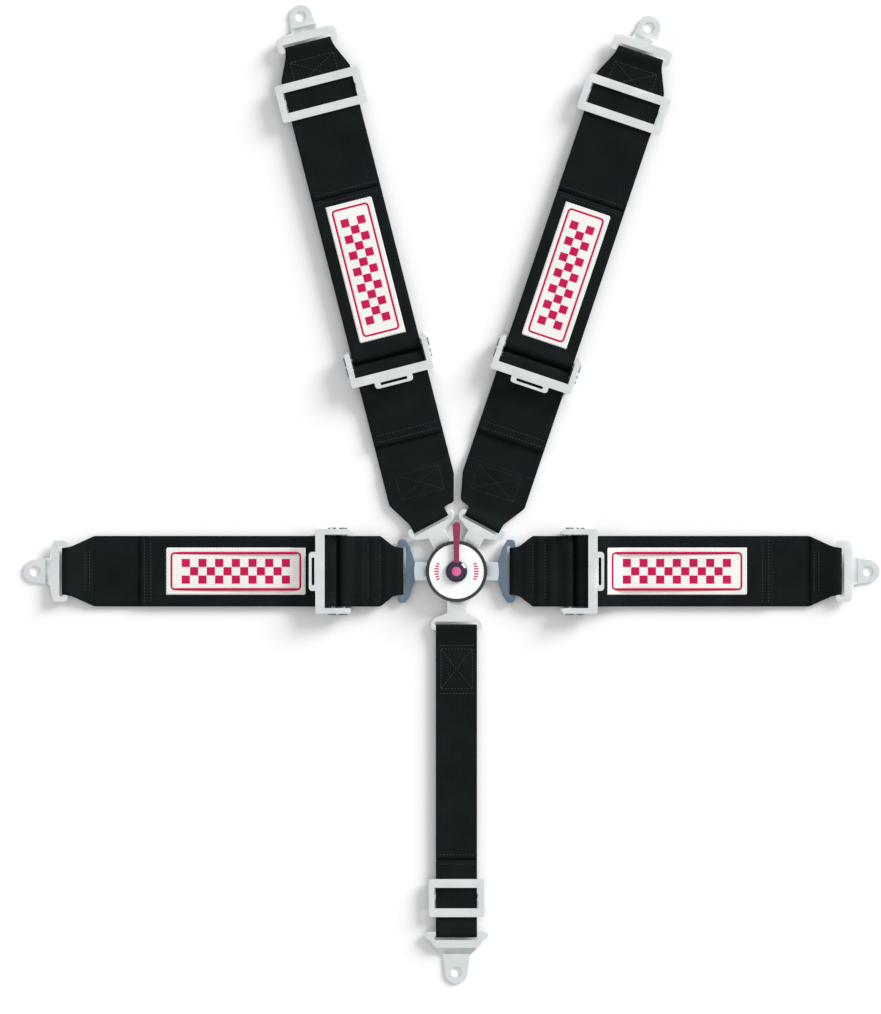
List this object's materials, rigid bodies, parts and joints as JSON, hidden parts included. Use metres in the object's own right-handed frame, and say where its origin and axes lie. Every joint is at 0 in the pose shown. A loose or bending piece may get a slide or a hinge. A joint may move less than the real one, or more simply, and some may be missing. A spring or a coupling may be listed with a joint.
{
  "type": "racing harness",
  "caption": "Flat-laid racing harness: shoulder, lap and crotch webbing straps with tongues, adjusters and bolt-in anchor brackets, joined at a round lever-release buckle.",
  "frame": {"origin": "centre of the buckle's flat back face", "axes": "+Z out of the buckle face, +Y from the crotch strap towards the shoulder straps, +X towards the right lap strap as seen from the front"},
  "size_m": [0.925, 1.0573, 0.0287],
  "materials": {
    "webbing": "close woven near-black polyester webbing",
    "patch": "embroidered white patch with a crimson border",
    "lever": "glossy crimson paint",
    "boss": "pinkish red paint",
    "hub": "glossy very dark navy",
    "housing": "satin black",
    "rim": "glossy black",
    "face": "satin white",
    "spring_wire": "bare spring wire",
    "slate_steel": "slate blue-grey coating",
    "dark_steel": "dull dark zinc",
    "plated_steel": "bright zinc plate with a pale blue cast"
  },
  "bodies": {
    "buckle": {"buckle_back_plate": "plated_steel", "buckle_housing": "housing", "buckle_cover": "rim", "buckle_face_disc": "face", "housing_screws": "plated_steel", "latch_springs": "spring_wire", "lever_return_spring": "spring_wire", "fixed_tongue_screw": "plated_steel", "left_lap_tongue": "slate_steel"},
    "lever": {"lever": "lever", "lever_hub": "hub", "hub_screw": "boss", "cam_plate": "dark_steel"},
    "right_lap_latch_pin": {"right_lap_latch_pin": "plated_steel"},
    "right_lap_tongue": {"right_lap_tongue": "slate_steel"},
    "right_shoulder_latch_pin": {"right_shoulder_latch_pin": "plated_steel"},
    "right_shoulder_tongue": {"right_shoulder_tongue": "plated_steel"},
    "left_shoulder_latch_pin": {"left_shoulder_latch_pin": "plated_steel"},
    "left_shoulder_tongue": {"left_shoulder_tongue": "plated_steel"},
    "crotch_latch_pin": {"crotch_latch_pin": "plated_steel"},
    "crotch_tongue": {"crotch_tongue": "plated_steel"},
    "right_shoulder_lower": {"right_shoulder_lower_webbing": "webbing"},
    "right_shoulder_upper": {"right_shoulder_adjuster_frame": "plated_steel", "right_shoulder_fixed_pin": "dark_steel", "right_shoulder_webbing": "webbing", "right_shoulder_patch": "patch"},
    "right_shoulder_bar": {"right_shoulder_knurled_bar": "plated_steel", "right_shoulder_tail": "webbing"},
    "right_shoulder_slide": {"right_shoulder_slide": "plated_steel"},
    "right_shoulder_anchor": {"right_shoulder_bracket": "plated_steel"},
    "left_shoulder_lower": {"left_shoulder_lower_webbing": "webbing"},
    "left_shoulder_upper": {"left_shoulder_adjuster_frame": "plated_steel", "left_shoulder_fixed_pin": "dark_steel", "left_shoulder_webbing": "webbing", "left_shoulder_patch": "patch"},
    "left_shoulder_bar": {"left_shoulder_knurled_bar": "plated_steel", "left_shoulder_tail": "webbing"},
    "left_shoulder_slide": {"left_shoulder_slide": "plated_steel"},
    "left_shoulder_anchor": {"left_shoulder_bracket": "plated_steel"},
    "right_lap_short": {"right_lap_short_webbing": "webbing", "right_lap_adjuster_frame": "plated_steel", "right_lap_fixed_pin": "dark_steel"},
    "right_lap_bar": {"right_lap_knurled_bar": "plated_steel", "right_lap_tail": "webbing", "right_lap_patch": "patch"},
    "right_lap_long": {"right_lap_webbing": "webbing"},
    "right_lap_anchor": {"right_lap_bracket": "plated_steel"},
    "left_lap_short": {"left_lap_short_webbing": "webbing", "left_lap_adjuster_frame": "plated_steel", "left_lap_fixed_pin": "dark_steel"},
    "left_lap_bar": {"left_lap_knurled_bar": "plated_steel", "left_lap_tail": "webbing", "left_lap_patch": "patch"},
    "left_lap_long": {"left_lap_webbing": "webbing"},
    "left_lap_anchor": {"left_lap_bracket": "plated_steel"},
    "crotch_strap": {"crotch_webbing": "webbing"},
    "crotch_slide": {"crotch_slide": "plated_steel"},
    "crotch_anchor": {"crotch_bracket": "plated_steel"}
  },
  "joints": [
    {"name": "lever_turn", "type": "hinge", "parent": "buckle", "child": "lever", "pos_m": [0, 0, 0.02], "axis": [0, 0, 1], "range_deg": [0, 45], "stiffness_Nm_per_rad": 0.06},
    {"name": "right_lap_latch_pin_lift", "type": "slide", "parent": "buckle", "child": "right_lap_latch_pin", "axis": [0, 0, 1], "range_m": [-0.0032, 0]},
    {"name": "right_lap_tongue_release", "type": "slide", "parent": "buckle", "child": "right_lap_tongue", "axis": [1, 0, 0], "range_m": [0, 0.028]},
    {"name": "right_shoulder_latch_pin_lift", "type": "slide", "parent": "buckle", "child": "right_shoulder_latch_pin", "axis": [0, 0, 1], "range_m": [-0.0032, 0]},
    {"name": "right_shoulder_tongue_release", "type": "slide", "parent": "buckle", "child": "right_shoulder_tongue", "axis": [0.4726, 0.8813, 0], "range_m": [0, 0.028]},
    {"name": "left_shoulder_latch_pin_lift", "type": "slide", "parent": "buckle", "child": "left_shoulder_latch_pin", "axis": [0, 0, 1], "range_m": [-0.0032, 0]},
    {"name": "left_shoulder_tongue_release", "type": "slide", "parent": "buckle", "child": "left_shoulder_tongue", "axis": [-0.4726, 0.8813, 0], "range_m": [0, 0.028]},
    {"name": "crotch_latch_pin_lift", "type": "slide", "parent": "buckle", "child": "crotch_latch_pin", "axis": [0, 0, 1], "range_m": [-0.0032, 0]},
    {"name": "crotch_tongue_release", "type": "slide", "parent": "buckle", "child": "crotch_tongue", "axis": [0, -1, 0], "range_m": [0, 0.028]},
    {"name": "right_shoulder_strap_swing", "type": "hinge", "parent": "right_shoulder_tongue", "child": "right_shoulder_lower", "pos_m": [0.02883, 0.05376, 0.0068], "axis": [0.8813, -0.4726, 0], "range_deg": [-20, 60]},
    {"name": "right_shoulder_length_adjust", "type": "slide", "parent": "right_shoulder_lower", "child": "right_shoulder_upper", "axis": [0.319, 0.9478, 0], "range_m": [-0.05, 0.03]},
    {"name": "right_shoulder_bar_release", "type": "slide", "parent": "right_shoulder_upper", "child": "right_shoulder_bar", "axis": [0.319, 0.9478, 0], "range_m": [0, 0.0012]},
    {"name": "right_shoulder_slide_move", "type": "slide", "parent": "right_shoulder_upper", "child": "right_shoulder_slide", "axis": [0.319, 0.9478, 0], "range_m": [-0.08, 0]},
    {"name": "right_shoulder_anchor_swing", "type": "hinge", "parent": "right_shoulder_upper", "child": "right_shoulder_anchor", "pos_m": [0.19787, 0.55608, 0.0106], "axis": [0.9478, -0.319, 0], "range_deg": [-60, 60]},
    {"name": "left_shoulder_strap_swing", "type": "hinge", "parent": "left_shoulder_tongue", "child": "left_shoulder_lower", "pos_m": [-0.02883, 0.05376, 0.0068], "axis": [0.8813, 0.4726, 0], "range_deg": [-20, 60]},
    {"name": "left_shoulder_length_adjust", "type": "slide", "parent": "left_shoulder_lower", "child": "left_shoulder_upper", "axis": [-0.247, 0.969, 0], "range_m": [-0.05, 0.03]},
    {"name": "left_shoulder_bar_release", "type": "slide", "parent": "left_shoulder_upper", "child": "left_shoulder_bar", "axis": [-0.247, 0.969, 0], "range_m": [0, 0.0012]},
    {"name": "left_shoulder_slide_move", "type": "slide", "parent": "left_shoulder_upper", "child": "left_shoulder_slide", "axis": [-0.247, 0.969, 0], "range_m": [-0.08, 0]},
    {"name": "left_shoulder_anchor_swing", "type": "hinge", "parent": "left_shoulder_upper", "child": "left_shoulder_anchor", "pos_m": [-0.15973, 0.56734, 0.0106], "axis": [0.969, 0.247, 0], "range_deg": [-60, 60]},
    {"name": "right_lap_strap_swing", "type": "hinge", "parent": "right_lap_tongue", "child": "right_lap_short", "pos_m": [0.061, 0, 0.0068], "axis": [0, -1, 0], "range_deg": [-20, 60]},
    {"name": "right_lap_bar_release", "type": "slide", "parent": "right_lap_short", "child": "right_lap_bar", "axis": [1, 0, 0], "range_m": [-0.0012, 0]},
    {"name": "right_lap_length_adjust", "type": "slide", "parent": "right_lap_short", "child": "right_lap_long", "axis": [1, 0, 0], "range_m": [-0.036, 0]},
    {"name": "right_lap_anchor_swing", "type": "hinge", "parent": "right_lap_long", "child": "right_lap_anchor", "pos_m": [0.412, 0, 0.00815], "axis": [0, -1, 0], "range_deg": [-60, 60]},
    {"name": "left_lap_strap_swing", "type": "hinge", "parent": "buckle", "child": "left_lap_short", "pos_m": [-0.061, 0, 0.0068], "axis": [0, 1, 0], "range_deg": [-20, 60]},
    {"name": "left_lap_bar_release", "type": "slide", "parent": "left_lap_short", "child": "left_lap_bar", "axis": [-1, 0, 0], "range_m": [-0.0012, 0]},
    {"name": "left_lap_length_adjust", "type": "slide", "parent": "left_lap_short", "child": "left_lap_long", "axis": [-1, 0, 0], "range_m": [-0.036, 0]},
    {"name": "left_lap_anchor_swing", "type": "hinge", "parent": "left_lap_long", "child": "left_lap_anchor", "pos_m": [-0.422, 0, 0.00815], "axis": [0, 1, 0], "range_deg": [-60, 60]},
    {"name": "crotch_strap_swing", "type": "hinge", "parent": "crotch_tongue", "child": "crotch_strap", "pos_m": [0, -0.061, 0.0068], "axis": [-1, 0, 0], "range_deg": [-20, 60]},
    {"name": "crotch_slide_move", "type": "slide", "parent": "crotch_strap", "child": "crotch_slide", "axis": [0, -1, 0], "range_m": [-0.15, 0.002]},
    {"name": "crotch_anchor_swing", "type": "hinge", "parent": "crotch_strap", "child": "crotch_anchor", "pos_m": [0, -0.3915, 0.0068], "axis": [-1, 0, 0], "range_deg": [-60, 60]}
  ]
}
